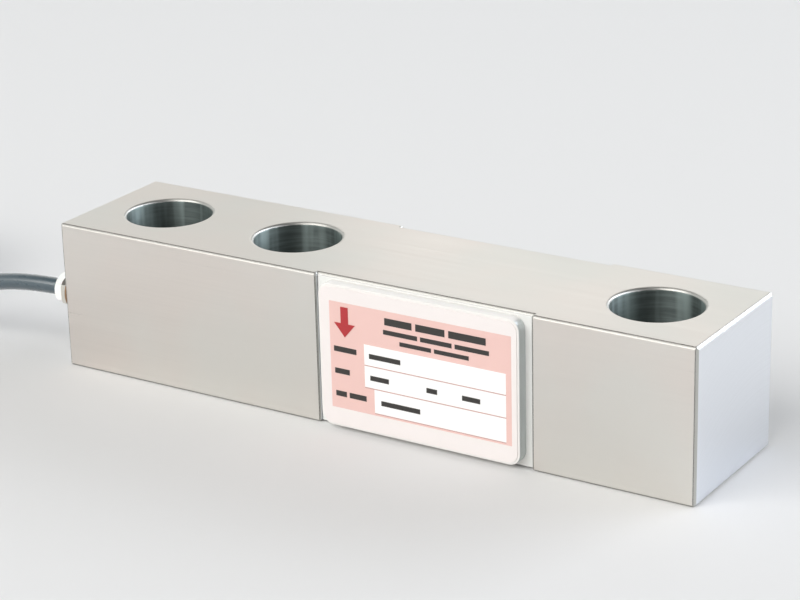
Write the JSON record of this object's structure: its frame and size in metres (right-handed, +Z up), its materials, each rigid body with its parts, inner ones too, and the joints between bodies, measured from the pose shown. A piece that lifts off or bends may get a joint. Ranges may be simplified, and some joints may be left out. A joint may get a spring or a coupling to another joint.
{
  "type": "shear beam load cell",
  "caption": "Steel shear beam load cell: a square bar with fixing bores and a load bore, a shallow waist with a cover plate, and a thin cable from a gland at the fixing end.",
  "frame": {"origin": "on the underside of the bar, midway between the two fixing bores", "axes": "+X along the bar towards the load bore, -Y out of the face with the cover plate, +Z up"},
  "size_m": [0.3487, 0.0484, 0.037],
  "materials": {
    "steel": "satin nickel plated",
    "gasket": "sheet, matt",
    "cover": "machined bright",
    "film": "printed film, satin",
    "compound": "cast, matt",
    "gauge_film": "foil on film",
    "board": "satin",
    "chip": "matt",
    "tinned": "tinned copper",
    "fibre": "matt",
    "nickel": "bright nickel plated",
    "nylon": "moulded, satin",
    "seal": "matt",
    "jacket": "extruded, satin",
    "band": "woven",
    "shrink": "satin",
    "red": "extruded",
    "black": "extruded",
    "green": "extruded",
    "white": "extruded"
  },
  "bodies": {
    "root": {"beam_body": "steel", "cover_gasket": "gasket", "front_cover": "cover", "nameplate": "film", "front_potting": "compound", "rear_potting": "compound", "front_shear_gauge": "gauge_film", "rear_shear_gauge": "gauge_film", "front_terminal_board": "board", "rear_terminal_board": "board", "board_link_wires": "tinned", "trim_resistors": "chip", "front_gauge_leads": "tinned", "rear_gauge_leads": "tinned", "red_core": "red", "black_core": "black", "green_core": "green", "white_core": "white", "gland_washer": "fibre", "gland_body": "nickel", "gland_seal": "seal", "gland_nut": "nylon", "cable": "jacket", "cable_hank": "jacket", "cable_tail": "jacket", "front_hank_tie": "band", "rear_hank_tie": "band", "shrink_sleeve": "shrink", "red_lead": "red", "black_lead": "black", "green_lead": "green", "white_lead": "white", "screen_lead": "tinned"}
  },
  "joints": []
}
